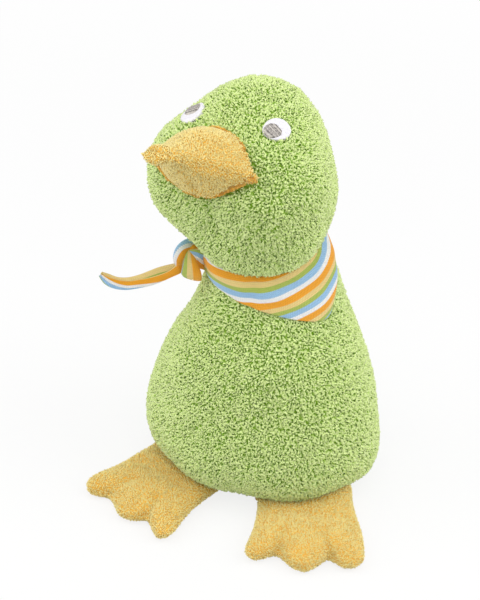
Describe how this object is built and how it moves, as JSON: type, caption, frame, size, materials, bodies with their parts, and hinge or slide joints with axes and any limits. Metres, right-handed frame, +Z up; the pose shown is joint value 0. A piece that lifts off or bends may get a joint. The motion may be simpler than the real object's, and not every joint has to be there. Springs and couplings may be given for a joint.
{
  "type": "plush duck",
  "caption": "Stuffed terry-cloth duck sitting on a flat base, with a raised padded beak, embroidered eyes, webbed feet and a striped neckerchief knotted at the side.",
  "frame": {"origin": "on the floor, at the middle of the flat base panel", "axes": "+Z up, -Y the way the body and feet face, +X towards the duck's own left"},
  "size_m": [0.1678, 0.1549, 0.247],
  "materials": {
    "green_terry": "looped terry pile, matt",
    "yellow_terry": "looped terry pile, matt",
    "filling": "loose polyester fibre",
    "striped_jersey": "fine striped knit, matt",
    "white_thread": "satin stitch, slight sheen",
    "grey_thread": "satin stitch, slight sheen"
  },
  "bodies": {
    "torso": {"body_panel_left": "green_terry", "body_panel_right": "green_terry", "base_panel": "green_terry", "body_filling": "filling"},
    "neck": {"neck_filling": "filling"},
    "head": {"head_side_left": "green_terry", "head_side_right": "green_terry", "head_gusset_crown": "green_terry", "head_gusset_chin": "green_terry", "head_filling": "filling", "beak_upper": "yellow_terry", "beak_lower": "yellow_terry", "beak_filling": "filling", "eye_white_left": "white_thread", "eye_white_right": "white_thread", "pupil_left": "grey_thread", "pupil_right": "grey_thread"},
    "left_foot": {"left_foot_top": "yellow_terry", "left_foot_sole": "yellow_terry", "left_foot_wadding": "filling"},
    "right_foot": {"right_foot_top": "yellow_terry", "right_foot_sole": "yellow_terry", "right_foot_wadding": "filling"},
    "neckerchief": {"neckerchief_band": "striped_jersey", "neckerchief_knot": "striped_jersey"},
    "long_tail": {"neckerchief_long_tail": "striped_jersey"},
    "short_tail": {"neckerchief_short_tail": "striped_jersey"}
  },
  "joints": [
    {"name": "head_turn", "type": "hinge", "parent": "torso", "child": "neck", "pos_m": [-0.012, -0.0033, 0.1826], "axis": [0, 0, 1], "range_deg": [-30, 60], "stiffness_Nm_per_rad": 0.3},
    {"name": "head_nod", "type": "hinge", "parent": "neck", "child": "head", "pos_m": [-0.012, -0.0033, 0.1826], "axis": [0.9464, -0.3231, 0], "range_deg": [-20, 10], "stiffness_Nm_per_rad": 0.3},
    {"name": "left_foot_flap", "type": "hinge", "parent": "torso", "child": "left_foot", "pos_m": [0.04061, -0.04577, 0.015], "axis": [-0.9205, -0.3907, 0], "range_deg": [-6, 40], "stiffness_Nm_per_rad": 0.05},
    {"name": "right_foot_flap", "type": "hinge", "parent": "torso", "child": "right_foot", "pos_m": [-0.04061, -0.04577, 0.015], "axis": [-0.9205, 0.3907, 0], "range_deg": [-6, 40], "stiffness_Nm_per_rad": 0.05},
    {"name": "neckerchief_turn", "type": "hinge", "parent": "torso", "child": "neckerchief", "pos_m": [0, 0, 0.147], "axis": [0, 0, 1], "range_deg": [-20, 20]},
    {"name": "long_tail_swing", "type": "hinge", "parent": "neckerchief", "child": "long_tail", "pos_m": [-0.04495, -0.02096, 0.15], "axis": [-0.5736, 0.8192, 0], "range_deg": [-35, 30]},
    {"name": "short_tail_swing", "type": "hinge", "parent": "neckerchief", "child": "short_tail", "pos_m": [-0.04495, -0.02096, 0.15], "axis": [-0.9063, -0.4226, 0], "range_deg": [-20, 20]}
  ]
}
